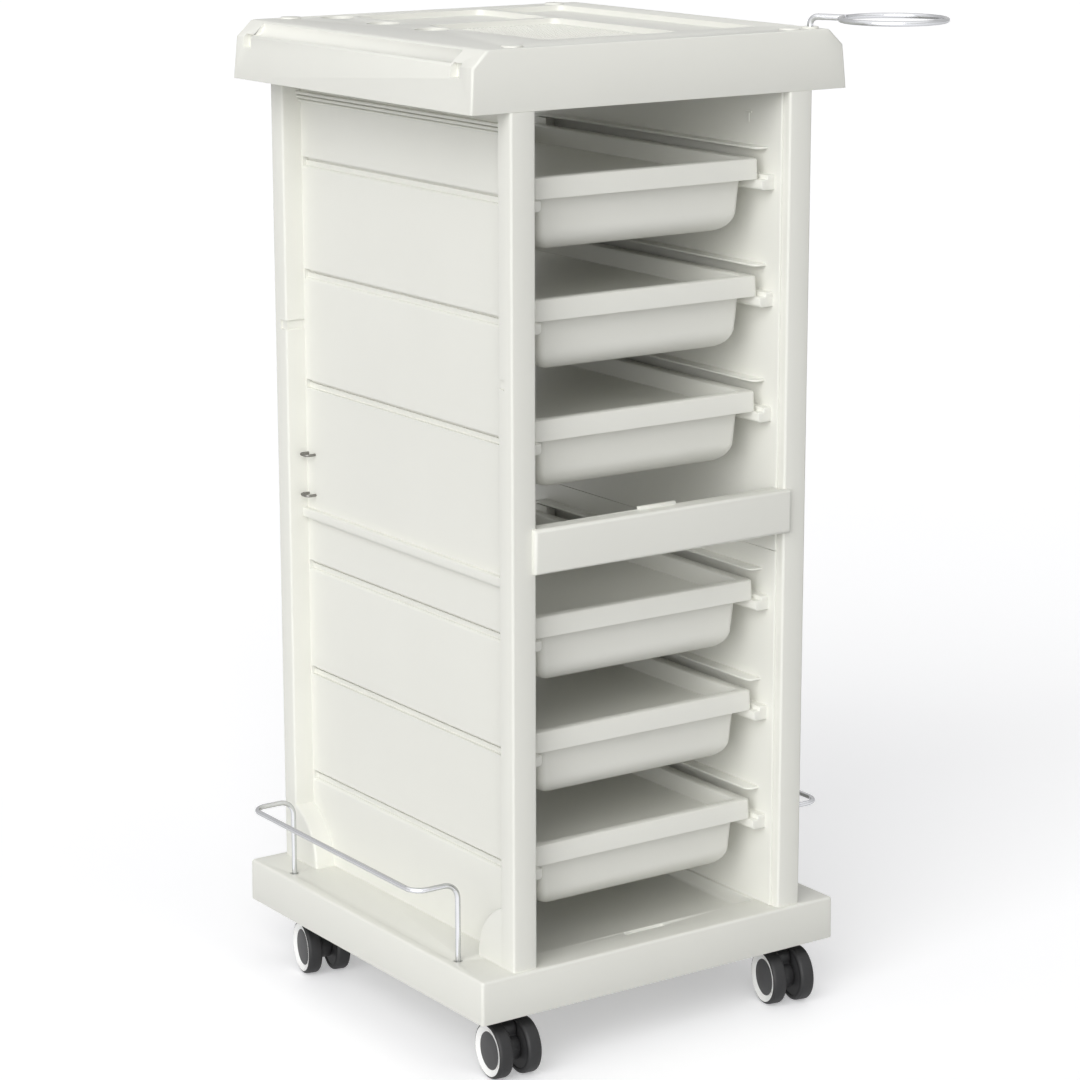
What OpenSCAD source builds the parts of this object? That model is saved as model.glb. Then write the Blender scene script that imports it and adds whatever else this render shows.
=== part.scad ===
// Rolling salon trolley: a wheeled base, four columns, slatted side panels,
// six pull-out trays, a top tray with a swivel dryer ring, and side wire rails.
// Millimetres, +Z up, X to the right along the front, Y towards the back.

/* [Base] */
// Width of the base, side to side
base_w = 386; // [320:1:480]
// Depth of the base, front to back
base_d = 398; // [330:1:480]
// Height of the base skirt
base_h = 39.5; // [34:0.5:60]
// Wall of the base moulding
base_wall = 3.5; // [2.5:0.5:5]
// Depth of the sunken floor in the base
floor_depth = 12.5; // [8:0.5:16]

/* [Frame] */
// Width of a column, along X
column_w = 23.3; // [20:0.1:32]
// Depth of a column, along Y
column_d = 17.5; // [14:0.5:24]
// Outer side of a column to the outer side of the base
column_side_gap = 37.4; // [30:0.1:50]
// Front of a column to the front of the base
column_front_gap = 8; // [5:0.5:14]
// How far a column foot spreads along the side
foot_spread = 35; // [20:1:50]
// Height of a column foot
foot_h = 60; // [40:1:75]
// Height of the crossbars
crossbar_h = 39; // [30:1:60]
// How far a crossbar stands proud of the columns
crossbar_proud = 5.5; // [3:0.5:8]

/* [Side panels] */
// Thickness of a panel
panel_t = 7.5; // [6:0.5:12]
// Width of the grooves across the outside of a panel
groove_w = 7; // [4:0.5:10]
// Depth of those grooves
groove_depth = 2.5; // [1:0.5:4]

/* [Trays] */
// Distance from one tray to the next
tray_pitch = 102.3; // [85:0.1:125]
// Rim of the first tray below the top of the columns
tray_top_gap = 58; // [40:1:80]
// Bottom of the third tray above the crossbar
bar_gap = 21; // [10:1:40]
// Rim of the fourth tray below the crossbar
tray_low_gap = 46; // [34:1:60]
// Bottom of the lowest tray above the base
base_gap = 35; // [20:1:60]
// Height of a tray
tray_h = 65; // [50:1:76]
// Height of the rim's skirt
rim_h = 18; // [14:0.5:24]
// How far the rim stands out from the tray's wall at the sides
rim_out = 12.5; // [12:0.5:20]
// Wall of a tray
tray_wall = 2.2; // [1.6:0.1:3.2]
// Radius of a tray's lower edges
tray_corner = 18; // [10:1:26]
// How much of a tray stays in when it is pulled out
tray_kept = 73; // [50:1:120]

/* [Top tray] */
// Lower edge of the top tray beyond the columns, at the sides
lid_over_x = 39.4; // [30:0.1:50]
// Lower edge of the top tray beyond the columns, at the front and back
lid_over_y = 2.5; // [2:0.5:20]
// Height of the top tray
lid_h = 51.5; // [44:0.5:70]
// Height of the chamfer along its left and right sides
lid_chamfer = 14; // [10:0.5:16]
// Wall of the top tray
lid_wall = 4; // [3:0.5:6]
// Depth of the sunken areas in its top
recess_depth = 6; // [5:0.5:9]
// Depth of the sunken mat area, front to back
mat_d = 182; // [120:1:200]
// Width of the sunken area on its right
side_recess_w = 81; // [50:1:90]

/* [Dryer ring] */
// Inner diameter of the ring
ring_bore = 86.4; // [60:0.1:110]
// Diameter of the ring's wire
ring_wire = 4.6; // [3:0.1:7]
// Diameter of the post and arm
post_dia = 5.5; // [4:0.1:8]
// Post to the ring's centre
ring_reach = 77; // [70:1:100]
// Direction of the arm seen from above, in degrees from +X
ring_angle = -62.4; // [-80:0.1:-20]

/* [Side rails] */
// Diameter of the rail wire
rail_wire = 6.2; // [4:0.1:9]
// Height of the rail above the base
rail_h = 71; // [45:1:90]
// How far the rail's long run stands out from its posts
rail_out = 44; // [30:1:52]
// Distance between the two posts of a rail
rail_span = 280; // [200:1:300]

/* [Casters] */
// Diameter of a wheel
wheel_dia = 50; // [40:1:75]
// Top of a wheel to the bottom of the base
wheel_clear = 6; // [5:0.5:12]
// Width of one wheel
wheel_w = 15; // [12:0.5:17]
// Gap between the two wheels of a caster
wheel_gap = 13; // [12:0.5:16]
// Swivel axis to the front of the wheel
swivel_gap = 5; // [4:0.5:10]
// Diameter of the swivel stem
stem_dia = 10; // [8:0.5:11]
// Swivel axis to the side of the base
caster_inset_x = 39.5; // [34:0.5:50]
// Swivel axis to the front or back of the base
caster_inset_y = 44.5; // [34:0.5:60]
// How far the front left caster is turned, in degrees
caster_turn_near = 6; // [0:1:20]
// How far the other casters are turned, in degrees
caster_turn = 12; // [0:1:20]

/* [Hidden] */
$fn = 48;
run = 0.05;     // radial clearance of a turning fit
gap = 0.3;      // clearance between sliding faces
eps = 0.01;
screw_r = 2.5;
head_r = 5;

wheel_r = wheel_dia / 2;
base_lift = wheel_dia + wheel_clear;
base_top = base_lift + base_h;
column_h = tray_top_gap + 4 * tray_pitch + 2 * tray_h + bar_gap + crossbar_h + tray_low_gap + base_gap;
lid_z = base_top + column_h;
lid_top = lid_z + lid_h;
column_x = base_w / 2 - column_side_gap;      // outer side of a column
column_y = base_d / 2 - column_front_gap;     // front of a column
inner_x = column_x - column_w;                // inner side of a column
inner_y = column_y - column_d;                // rear of a column
column_mid = [column_x - column_w / 2, column_y - column_d / 2];
lid_screw = column_mid - [0, 5];

panel_in = inner_x - 2.3;
panel_out = panel_in + panel_t;
crossbar_z = lid_z - tray_top_gap - 2 * tray_pitch - tray_h - bar_gap - crossbar_h;
split_z = crossbar_z - tray_low_gap + 27.5;   // where the upper and lower panels meet
tongue_end = inner_y + column_d - 3;

rim_x = panel_in - 12;                        // half width of a tray's rim
body_x = rim_x - rim_out;                     // half width of its body
rim_front = -column_y + 21;
rim_back = inner_y - 1.5;
rims = [for (i = [0:2]) lid_z - tray_top_gap - i * tray_pitch,
        for (i = [0:2]) crossbar_z - tray_low_gap - i * tray_pitch];
lug_l = 20;
tray_travel = rim_back - rim_front - tray_kept;
lug_top = 6;                                  // top of a tray's lug above its rim

lid_w = 2 * (column_x + lid_over_x);
lid_d = 2 * (column_y + lid_over_y);
ring_post = [lid_w / 2 - lid_chamfer - 14, -lid_d / 2 + 17];
ring_z = lid_top + 10;
ring_r = (ring_bore + ring_wire) / 2;
ring_mid = ring_post + ring_reach * [cos(ring_angle), sin(ring_angle)];

rail_x = base_w / 2 - 14;
rail_bend = 14;

caster = [base_w / 2 - caster_inset_x, base_d / 2 - caster_inset_y];
caster_trail = wheel_r + swivel_gap;
fork_w = wheel_gap - 2 * gap;
axle_r = 3;

// The origin is on the floor, under the middle of the whole object with its ring and rails.
x_min = -(rail_x + rail_out + rail_wire / 2);
x_max = max(-x_min, ring_mid[0] + ring_r + ring_wire / 2);
y_min = min(-base_d / 2, ring_mid[1] - ring_r - ring_wire / 2);
y_max = max(base_d / 2, lid_d / 2);
shift = [-(x_min + x_max) / 2, -(y_min + y_max) / 2, 0];

SIDES = ["left", "right"];
ENDS = ["front", "rear"];

function side(s) = s == "left" ? -1 : 1;
function end(e) = e == "front" ? -1 : 1;
function arc(cx, cy, r, a, b, n = 8) =
    [for (i = [0:n]) [cx + r * cos(a + (b - a) * i / n), cy + r * sin(a + (b - a) * i / n)]];

// ---------- shared shapes ----------

// A block between two corners
module block(low, high) {
    translate(low) cube(high - low);
}

// A flat plate with rounded upright corners
module plate(w, d, h, r) {
    linear_extrude(h) {
        square([w - 2 * r, d], center = true);
        square([w, d - 2 * r], center = true);
        for (x = [-1, 1], y = [-1, 1])
            translate([x * (w / 2 - r), y * (d / 2 - r)]) circle(r);
    }
}

// An outline in X and Z, pushed along Y from y0 to y1
module along_y(y0, y1) {
    translate([0, y1, 0]) rotate([90, 0, 0]) linear_extrude(y1 - y0) children();
}

// An outline in Y and Z, pushed along X from x0 to x1
module along_x(x0, x1) {
    translate([x0, 0, 0]) rotate([90, 0, 90]) linear_extrude(x1 - x0) children();
}

// The children on the side where s is 1, mirrored where it is -1
module sided(s) {
    if (s < 0) mirror([1, 0, 0]) children();
    else children();
}

module ended(e) {
    if (e > 0) mirror([0, 1, 0]) children();
    else children();
}

module corners() {
    for (x = [0, 1], y = [0, 1]) mirror([x, 0, 0]) mirror([0, y, 0]) children();
}

module placed() {
    translate(shift) children();
}

// ---------- base ----------

module foot_outline(grow = 0) {
    n = 12;
    polygon(concat([[0, 0]],
        [for (i = [0:n]) [(foot_spread + grow) * cos(90 * i / n), (foot_h + grow) * sin(90 * i / n)]]));
}

module base_tray() {
    pan = [2 * (panel_in - 3), 2 * (column_y - 27)];
    color("#e9e9e3") difference() {
        union() {
            difference() {
                translate([0, 0, base_lift]) plate(base_w, base_d, base_h, 3.5);
                translate([0, 0, base_lift - 1])
                    plate(base_w - 2 * base_wall, base_d - 2 * base_wall, base_h - base_wall + 1, 1.5);
            }
            translate([0, 0, base_top - floor_depth - base_wall])
                plate(pan[0] + 2 * base_wall, pan[1] + 2 * base_wall, floor_depth + base_wall - 1, 5);
            corners() {
                translate([caster[0], caster[1], base_lift + 0.5])
                    cylinder(r = stem_dia / 2 + 7, h = base_h - base_wall);
                block([column_mid[0] - 9, column_mid[1] - 7, base_lift + 4],
                      [column_mid[0] + 9, column_y + column_front_gap - 2, base_top - 1]);
                translate([rail_x, rail_span / 2, base_top - 14]) cylinder(r = rail_wire / 2 + 4, h = 13);
            }
        }
        translate([0, 0, base_top - floor_depth]) plate(pan[0], pan[1], floor_depth + 1, 3);
        block([-21.5, -pan[1] / 2 - 8, base_top - 2.5], [21.5, -pan[1] / 2 - 2, base_top + 1]);
        corners() {
            translate([caster[0], caster[1], base_lift]) cylinder(d = stem_dia, h = base_h - 6);
            translate([column_mid[0], column_mid[1], base_lift]) cylinder(r = screw_r, h = base_h + 1);
            translate([rail_x, rail_span / 2, base_top - 12]) cylinder(d = rail_wire, h = 13);
        }
    }
}

// ---------- frame ----------

module column(e, s) {
    color("#e4e4de") sided(s) ended(e) difference() {
        union() {
            block([inner_x, -column_y, base_top], [column_x, -inner_y, lid_z]);
            translate([0, -inner_y - eps, base_top]) along_x(panel_out, column_x) foot_outline();
        }
        translate([column_mid[0], -column_mid[1], base_top - 1]) cylinder(r = screw_r, h = 21);
        translate([lid_screw[0], -lid_screw[1], lid_z - 21]) cylinder(r = screw_r, h = 22);
        // clip slot across the outer side
        block([column_x - 2, -inner_y - 11, lid_z - 222], [column_x + 1, -inner_y + 1, lid_z - 213]);
    }
}

module crossbar(e) {
    z0 = crossbar_z;
    z1 = z0 + crossbar_h;
    color("#e4e4de") ended(e) {
        difference() {
            union() {
                block([-inner_x - 6, -column_y - crossbar_proud, z0], [inner_x + 6, -column_y, z1]);
                block([-panel_in + 0.5, -column_y - 1, z0], [panel_in - 0.5, -column_y + 10, z1]);
                block([-20, -column_y + 6, z1 - 1], [20, -column_y + 10, z1 + 5]);
            }
            block([-panel_in + 4, -column_y - crossbar_proud + 3, z0 - 1],
                  [panel_in - 4, -column_y + 7, z1 - 3]);
        }
    }
}

// One runner, made of a block with a step under the tray's rim and a thin rib
// above it that keeps the tray's lugs down.
module runner(top) {
    y0 = rim_front - 7;
    y1 = inner_y + 2;
    low = top - rim_h - 9.5;
    shelf = top - 14.5;
    block([rim_x + 3.7, y0, low], [panel_in + 1, y1, shelf]);
    block([rim_x - 2.5, y0, low], [rim_x + 4, y1, top - rim_h - gap]);
    block([rim_x - 1, rim_front + 3, top + lug_top + 1], [panel_in + 1, y1, top + lug_top + 3]);
    stop_y = rim_back - lug_l - tray_travel - gap;
    block([rim_x + 1, stop_y - 5, shelf - 1], [panel_in - 2, stop_y, top - 7.5]);
    block([rim_x + 1, rim_back + gap, shelf - 1], [panel_in + 1, y1, top - 4]);
}

module side_panel(z0, z1, tops) {
    difference() {
        union() {
            block([panel_in, -inner_y, z0], [panel_out, inner_y, z1]);
            block([panel_in, -tongue_end, z0 + (z0 < split_z ? foot_h + 1 : 0)],
                  [inner_x - 0.1, tongue_end, z1]);
            for (t = tops) runner(t);
        }
        for (t = tops)
            block([panel_out - groove_depth, -inner_y - 1, t - rim_h - groove_w / 2],
                  [panel_out + 1, inner_y + 1, t - rim_h + groove_w / 2]);
        children();
    }
}

module side_panel_upper(s) {
    color("#e6e6e0") sided(s) {
        side_panel(split_z, lid_z, [for (i = [0:2]) rims[i]]);
        block([panel_out - 1, -inner_y, lid_z - 22], [panel_out + 4, inner_y, lid_z - 13]);
        block([panel_out - 1, -inner_y, lid_z - 26], [panel_out + 2, inner_y, lid_z - 21]);
        block([panel_out - 1, -inner_y, split_z], [panel_out + 5.5, inner_y, split_z + 7]);
    }
}

module side_panel_lower(s) {
    color("#e6e6e0") sided(s)
        side_panel(base_top, split_z, [for (i = [3:5]) rims[i]]) {
            for (m = [0, 1]) mirror([0, m, 0]) translate([0, -inner_y - 1, base_top - 1])
                along_x(panel_in - 1, panel_out + 1) foot_outline(1);
        }
}

// ---------- top tray ----------

module lid_body(cut = 0) {
    w = lid_w / 2 - cut;
    d = lid_d / 2 - cut;
    draft = 4;
    z0 = lid_z - (cut > 0 ? 1 : 0);
    z1 = lid_top - (cut > 0 ? recess_depth + cut : 0);
    shoulder = lid_top - lid_chamfer - cut / 2;
    intersection() {
        along_y(-d, d) polygon([[-w, z0], [w, z0], [w - draft, shoulder],
            [w - draft - (z1 - shoulder), z1], [-w + draft + (z1 - shoulder), z1], [-w + draft, shoulder]]);
        along_x(-w, w) polygon([[-d, z0], [d, z0], [d - 2.5, z1], [-d + 2.5, z1]]);
    }
}

module lid_recess(low, high) {
    translate([(low[0] + high[0]) / 2, (low[1] + high[1]) / 2, lid_top - recess_depth])
        plate(high[0] - low[0], high[1] - low[1], recess_depth + 1, 8);
}

module lid_tray() {
    side_x = lid_w / 2 - lid_chamfer - 38;
    mat_x = [-lid_w / 2 + 110, side_x - side_recess_w - 10];
    back_y = lid_d / 2 - 30;
    front_y = -lid_d / 2 + 54;
    channel_x = lid_w / 2 - 7.1;
    color("#eeeee9") difference() {
        union() {
            difference() {
                lid_body();
                lid_body(lid_wall);
            }
            intersection() {
                lid_body();
                union() {
                    corners() block([inner_x - 5, inner_y - 6, lid_z], [column_x + 5, lid_d, lid_top - 1]);
                    translate([ring_post[0], ring_post[1], lid_top - 36]) cylinder(r = 9, h = 35);
                    for (m = [0, 1]) mirror([m, 0, 0])
                        block([channel_x - 13, -lid_d / 2 + 24, lid_top - lid_chamfer - 13],
                              [channel_x + 5, lid_d / 2 - 14, lid_top - 1]);
                }
            }
        }
        // sunken areas of the top
        lid_recess([mat_x[0], front_y], [mat_x[1], front_y + mat_d]);
        lid_recess([mat_x[1] + 10, front_y + 5], [side_x, back_y]);
        lid_recess([mat_x[0], front_y + mat_d + 10], [mat_x[1], back_y]);
        for (i = [0:2]) translate([mat_x[0] - 19, back_y - 2.5 - 78 * i, lid_top - recess_depth])
            cylinder(r = 15, h = recess_depth + 1);
        // shallow round channel along each side, with a notch in the wall's edge at both ends
        for (m = [0, 1]) mirror([m, 0, 0]) {
            translate([channel_x, -lid_d / 2 + 41, lid_top - 3.3]) rotate([-90, 0, 0])
                cylinder(r = 9, h = lid_d - 69);
            for (y = [-lid_d / 2 + 32, lid_d / 2 - 28])
                block([channel_x - 2, y, lid_top - lid_chamfer - 12], [lid_w, y + 9, lid_top - lid_chamfer + 2]);
        }
        // screw holes and cap seats over the columns
        corners() translate([lid_screw[0], lid_screw[1], 0]) {
            translate([0, 0, lid_top - 3]) cylinder(r = 9.4, h = 4);
            translate([0, 0, lid_z + 35]) cylinder(r = head_r + 0.3, h = lid_h);
            translate([0, 0, lid_z - 1]) cylinder(r = screw_r + 0.1, h = lid_h);
        }
        translate([ring_post[0], ring_post[1], lid_top - 40]) cylinder(r = 6, h = 41);
    }
}

module lid_screws() {
    color("#b9bcc0") corners() translate([lid_screw[0], lid_screw[1], 0]) {
        translate([0, 0, lid_z + 35]) cylinder(r = head_r, h = 3.5);
        translate([0, 0, lid_z - 20]) cylinder(r = screw_r, h = 56);
    }
}

module lid_screw_caps() {
    color("#f2f2ee") corners() translate([lid_screw[0], lid_screw[1], lid_top - 3])
        rotate_extrude() polygon([[0, 0], [9.3, 0], [9.3, 3.6], [8.2, 4.5], [0, 4.8]]);
}

module base_screws() {
    color("#b9bcc0") corners() translate([column_mid[0], column_mid[1], 0]) {
        translate([0, 0, base_lift + 0.7]) cylinder(r = head_r, h = 3.3);
        translate([0, 0, base_lift + 3]) cylinder(r = screw_r, h = base_h + 16);
    }
}

// Two short wire staples at the rear of the left panel, above and below its step
module panel_clip_wires() {
    color("#8a8a88") for (z = [split_z + 22, split_z + 60]) {
        x = -panel_out - 7;
        translate([x, inner_y - 22, z]) rotate([-90, 0, 0]) cylinder(r = 1.5, h = 14);
        for (y = [-22, -8]) translate([x, inner_y + y, z]) {
            sphere(r = 1.5);
            rotate([0, 90, 0]) cylinder(r = 1.5, h = 7);
        }
    }
}

// ---------- dryer ring ----------

module ring_bush() {
    color("#e9e9e3") translate([ring_post[0], ring_post[1], 0]) difference() {
        union() {
            translate([0, 0, lid_top - 36]) cylinder(r = 6, h = 36);
            translate([0, 0, lid_top]) cylinder(r = 7.5, h = 1.6);
        }
        translate([0, 0, lid_top - 34]) cylinder(r = post_dia / 2 + run, h = 40);
    }
}

module dryer_ring() {
    bend = 7;
    color("#c8cacc") translate([ring_post[0], ring_post[1], 0]) rotate([0, 0, ring_angle]) {
        translate([0, 0, lid_top - 33]) cylinder(d = post_dia, h = ring_z - bend - lid_top + 33);
        translate([bend, 0, ring_z - bend]) rotate([90, 0, 0])
            rotate([0, 0, 90]) rotate_extrude(angle = 90) translate([bend, 0]) circle(d = post_dia);
        translate([bend, 0, ring_z]) rotate([0, 90, 0])
            cylinder(d = post_dia, h = ring_reach - ring_r - bend);
        translate([ring_reach, 0, ring_z]) rotate_extrude() translate([ring_r, 0]) circle(d = ring_wire);
    }
}

// ---------- side wire rails ----------

module quarter_bend(r) {
    rotate_extrude(angle = 90) translate([r, 0]) circle(d = rail_wire);
}

module wire_rail(s) {
    top = base_top + rail_h;
    color("#c8cacc") sided(s) for (m = [0, 1]) mirror([0, m, 0]) {
        // post, a bend outwards, then a bend along the side
        translate([rail_x, rail_span / 2, base_top - 11]) cylinder(d = rail_wire, h = rail_h + 11 - rail_bend);
        translate([rail_x + rail_bend, rail_span / 2, top - rail_bend])
            rotate([90, 0, 0]) rotate([0, 0, 90]) quarter_bend(rail_bend);
        translate([rail_x + rail_bend, rail_span / 2, top]) rotate([0, 90, 0])
            cylinder(d = rail_wire, h = rail_out - 2 * rail_bend);
        translate([rail_x + rail_out - rail_bend, rail_span / 2 - rail_bend, top]) quarter_bend(rail_bend);
        translate([rail_x + rail_out, -eps, top]) rotate([-90, 0, 0])
            cylinder(d = rail_wire, h = rail_span / 2 - rail_bend + eps);
    }
}

// ---------- trays ----------

module tray_outline(half, top, cut) {
    r = tray_corner - cut;
    polygon(concat([[-half + cut, top]],
        arc(-half + 6 + tray_corner, -tray_h + tray_corner, r, 180, 270),
        arc(half - 6 - tray_corner, -tray_h + tray_corner, r, 270, 360),
        [[half - cut, top]]));
}

module tray_body(top, cut) {
    mid = (rim_front + rim_back) / 2;
    half_y = (rim_back - rim_front) / 2 - 9;
    intersection() {
        along_y(-lid_d, lid_d) tray_outline(body_x, top, cut);
        translate([0, mid, 0]) along_x(-lid_w, lid_w) tray_outline(half_y, top, cut);
    }
}

module tray(i) {
    rim_mid = (rim_front + rim_back) / 2;
    rim_l = rim_back - rim_front;
    color("#e7e7e1") translate([0, 0, rims[i]]) {
        difference() {
            union() {
                translate([0, rim_mid, -rim_h]) plate(2 * rim_x, rim_l, rim_h, 9);
                tray_body(-0.5, 0);
            }
            difference() {
                translate([0, rim_mid, -rim_h - 1])
                    plate(2 * (rim_x - tray_wall), rim_l - 2 * tray_wall, rim_h + 1 - tray_wall, 7);
                tray_body(0, 0);
            }
            tray_body(1, tray_wall);
        }
        // lugs that run in the channel of each runner
        for (m = [0, 1]) mirror([m, 0, 0])
            block([rim_x - 1, rim_back - lug_l, -14], [panel_in - 2.5, rim_back, lug_top]);
    }
}

// ---------- casters ----------

module at_caster(e, s) {
    translate([side(s) * caster[0], end(e) * caster[1], 0])
        rotate([0, 0, e == "front" && s == "left" ? -caster_turn_near : -caster_turn]) children();
}

module caster_stems() {
    color("#7d7f82") for (e = ENDS, s = SIDES) at_caster(e, s) {
        translate([0, 0, wheel_dia - 6]) cylinder(d = stem_dia, h = base_top - 6 - wheel_dia + 5);
        translate([0, 0, base_lift - 1.2]) cylinder(r = stem_dia / 2 + 3, h = 1.7);
    }
}

module caster_fork(e, s) {
    boss_z = wheel_dia - 10;
    color("#2b2b2b") at_caster(e, s) difference() {
        union() {
            translate([-fork_w / 2, -caster_trail, wheel_r]) rotate([0, 90, 0])
                cylinder(r = 12, h = fork_w);
            along_x(-fork_w / 2, fork_w / 2)
                polygon(concat([[-caster_trail, wheel_r - 12], [-caster_trail + 12, wheel_r - 6],
                    [9, boss_z], [9, boss_z + 8]], arc(-caster_trail + 2, wheel_r, 23, 60, 180, 10)));
            translate([0, 0, boss_z]) cylinder(r = stem_dia / 2 + 4, h = base_lift - 2 - boss_z);
        }
        translate([0, 0, wheel_dia - 7]) cylinder(r = stem_dia / 2 + run, h = 20);
        translate([-fork_w, -caster_trail, wheel_r]) rotate([0, 90, 0]) cylinder(r = axle_r, h = 2 * fork_w);
    }
}

module caster_axle(e, s) {
    half = wheel_gap / 2 + wheel_w - 1.5;
    color("#9a9c9e") at_caster(e, s) translate([-half, -caster_trail, wheel_r])
        rotate([0, 90, 0]) cylinder(r = axle_r, h = 2 * half);
}

// A wheel turned about X, with its outer face away from the fork
module turned(e, s, k) {
    at_caster(e, s) translate([0, -caster_trail, wheel_r])
        sided(side(s) * (k == "outer" ? 1 : -1))
            translate([wheel_gap / 2, 0, 0]) rotate([0, 90, 0]) rotate_extrude() children();
}

module wheel(e, s, k) {
    hub = wheel_r - 8.2;
    color("#222222") turned(e, s, k) polygon(concat(
        [[axle_r + run, 0.4], [8, 0], [8, 1.5], [wheel_r - 5, 1.5], [wheel_r - 4, 0.3]],
        arc(wheel_r - 3, 3.3, 3, -80, 0, 4), arc(wheel_r - 3, wheel_w - 3.6, 3, 0, 80, 4),
        [[wheel_r - 2.1, wheel_w - 1.8], [hub, wheel_w - 1.8], [hub, wheel_w - 0.9], [5.5, wheel_w],
         [5.5, wheel_w - 1.2], [0, wheel_w - 1.2], [0, wheel_w - 1.5 + run], [axle_r + run, wheel_w - 1.5 + run]]));
}

module wheel_ring(e, s, k) {
    color("#f4f4f2") turned(e, s, k) polygon([[wheel_r - 8.1, wheel_w - 1.8], [wheel_r - 2.3, wheel_w - 1.8],
        [wheel_r - 2.7, wheel_w - 0.7], [wheel_r - 7.9, wheel_w - 0.3]]);
}

// ---------- the object ----------

placed() base_tray();
placed() lid_tray();
placed() lid_screws();
placed() lid_screw_caps();
placed() base_screws();
placed() panel_clip_wires();
placed() ring_bush();
placed() dryer_ring();
placed() caster_stems();
for (e = ENDS)
    placed() crossbar(end(e));
for (s = SIDES) {
    placed() side_panel_upper(side(s));
    placed() side_panel_lower(side(s));
    placed() wire_rail(side(s));
}
for (i = [0:5])
    placed() tray(i);
for (e = ENDS, s = SIDES) {
    placed() column(end(e), side(s));
    placed() caster_fork(e, s);
    placed() caster_axle(e, s);
    for (k = ["outer", "inner"]) {
        placed() wheel(e, s, k);
        placed() wheel_ring(e, s, k);
    }
}
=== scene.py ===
import math

import bmesh
import bpy
from mathutils import Matrix, Vector


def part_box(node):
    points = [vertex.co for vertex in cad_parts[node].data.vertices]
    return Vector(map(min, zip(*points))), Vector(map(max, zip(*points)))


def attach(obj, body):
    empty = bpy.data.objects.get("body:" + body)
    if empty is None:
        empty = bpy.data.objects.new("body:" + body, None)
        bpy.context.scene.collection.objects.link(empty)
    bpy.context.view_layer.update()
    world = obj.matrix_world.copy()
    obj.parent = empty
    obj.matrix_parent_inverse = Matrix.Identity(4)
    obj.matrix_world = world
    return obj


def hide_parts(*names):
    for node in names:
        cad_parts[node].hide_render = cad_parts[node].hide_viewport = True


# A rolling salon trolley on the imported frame: base, columns, side panels, six trays, top tray,
# dryer ring, side rails and casters. Lengths in the modelling part are millimetres, measured
# from the middle of the base, and MM turns them into Blender's metres.

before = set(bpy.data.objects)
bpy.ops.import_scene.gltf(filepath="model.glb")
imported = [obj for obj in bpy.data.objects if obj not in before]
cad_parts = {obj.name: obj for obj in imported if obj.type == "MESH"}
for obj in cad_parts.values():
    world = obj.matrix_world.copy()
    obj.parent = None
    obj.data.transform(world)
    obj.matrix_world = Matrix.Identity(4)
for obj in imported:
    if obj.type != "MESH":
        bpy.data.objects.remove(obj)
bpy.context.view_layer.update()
MM = 0.001

near_corner, far_corner = (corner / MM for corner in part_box("base_tray"))
MIDDLE = Vector(((near_corner.x + far_corner.x) / 2, (near_corner.y + far_corner.y) / 2, 0))


def span(node):
    """A CAD node's lowest and highest corner, in millimetres from the middle of the base."""
    low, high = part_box(node)
    return low / MM - MIDDLE, high / MM - MIDDLE


base_low, base_high = span("base_tray")
lid_low, lid_high = span("lid_tray")
column_low, column_high = span("column_rear_right")
bar_low, bar_high = span("front_crossbar")
ledge_low, ledge_high = span("side_panel_upper_right")

BASE_TOP = base_high.z
LID_Z, LID_TOP = lid_low.z, lid_high.z
COLUMN_X, COLUMN_Y = column_high.x, column_high.y      # outer faces of a column
INNER_X = column_low.x                                 # inner face of a column
COLUMN_D = 17.5                                        # a column from front to back
INNER_Y = COLUMN_Y - COLUMN_D
WIDER, PROUDER = 1.4, 3                                # posts and crossbars stand this far past the CAD's
LEDGE = 5.5                                            # the ledge stands out from the panel
PANEL_OUT = ledge_high.x - LEDGE
PANEL_IN = PANEL_OUT - 7.5
SPLIT_Z = ledge_low.z                                  # where the upper and lower panels meet
LINING_Y = COLUMN_Y - 5.8                              # how far forward the panels' lining reaches
MARK_Y, MARK_Z = 140, LID_Z - 20.5                     # clip marks on the inside of the upper panels

RIM_X = PANEL_IN - 12                                  # half width of a tray's rim
RIM_H, TRAY_H, TRAY_WALL = 18, 65, 2.2
RIM_FRONT, RIM_BACK = -COLUMN_Y + 21, INNER_Y - 1.5
TRAVEL = 269                                           # how far a tray slides out
LUG_D, LUG_TOP = 20, 6                                 # a lug's depth, and its height above the rim
RIMS = [span(f"tray_{i}")[1].z - LUG_TOP for i in range(1, 7)]

SCREW_X, LID_SCREW_Y, BASE_SCREW_Y = 143.95, 177.25, 182.25
RAIL_X, RAIL_Y = base_high.x - 14, 140                 # posts of the side rails
CASTER_X, CASTER_Y = base_high.x - 39.5, base_high.y - 44.5
WHEEL_R, WHEEL_W, WHEEL_GAP = 25, 15, 13
TRAIL = 30                                             # the axle stands this far from the caster's stem
AT_REST = {"front_left": 6}                            # degrees that a caster is turned at rest
REST_TURN = 12                                         # and the others
RING_IN = 16.95                                        # inner radius of a wheel's ring

SIDES = {"left": -1, "right": 1}
ENDS = {"front": -1, "rear": 1}
BOTH = (-1, 1)


# ---------- modelling helpers ----------

def at(x, y, z):
    """A point in millimetres from the middle of the base, as Blender's own point."""
    return (Vector((x, y, z)) + MIDDLE) * MM


def place(point):
    """The other way round: a mesh point in millimetres from the middle of the base."""
    return point / MM - MIDDLE


def clear():
    """Object mode with nothing selected."""
    if bpy.context.mode != "OBJECT":
        bpy.ops.object.mode_set(mode="OBJECT")
    bpy.ops.object.select_all(action="DESELECT")


def only(obj):
    """Object mode with just this object selected."""
    clear()
    obj.select_set(True)
    bpy.context.view_layer.objects.active = obj
    return obj


def settle(obj):
    """The object's place, turn and scale go into its mesh."""
    only(obj)
    bpy.ops.object.transform_apply(location=True, rotation=True, scale=True)
    return obj


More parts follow.
